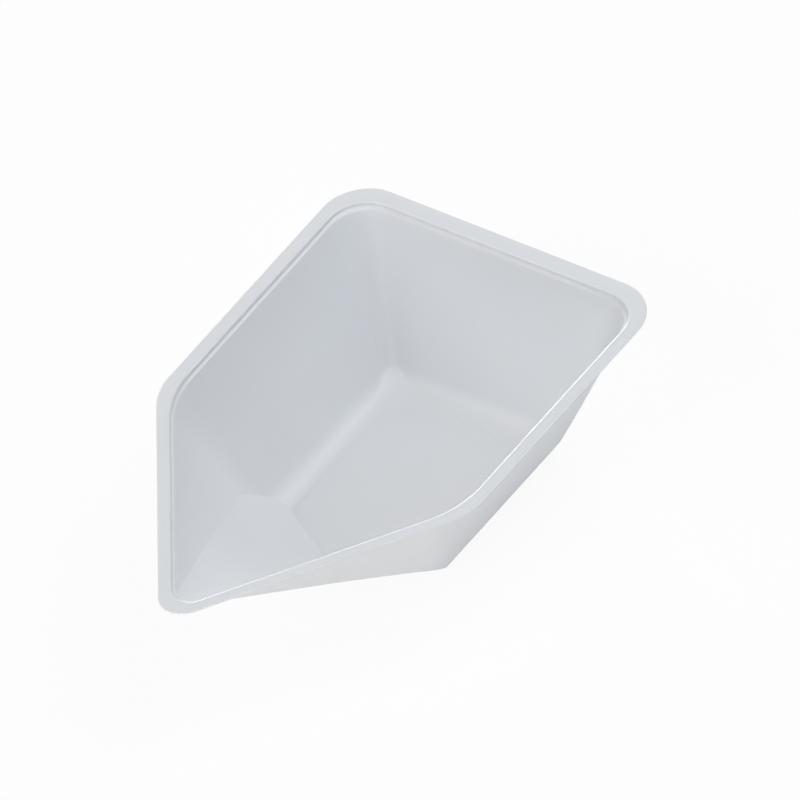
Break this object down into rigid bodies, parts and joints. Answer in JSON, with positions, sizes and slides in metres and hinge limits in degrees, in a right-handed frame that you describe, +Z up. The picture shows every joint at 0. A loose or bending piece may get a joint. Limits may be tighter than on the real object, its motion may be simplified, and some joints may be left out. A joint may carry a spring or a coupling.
{
  "type": "pouring weighing boat",
  "caption": "Pouring weighing boat formed from one thin white sheet, with a flat rim, leaning walls, a coved floor and a vee ramp that rises to a pointed lip.",
  "frame": {"origin": "centre of the bounding box in plan, at the underside of the floor", "axes": "+X towards the pouring tip, +Z up; the boat is the same on both sides of Y = 0"},
  "size_m": [0.1334, 0.086, 0.0361],
  "materials": {
    "boat": "satin"
  },
  "bodies": {
    "root": {"boat": "boat"}
  },
  "joints": []
}
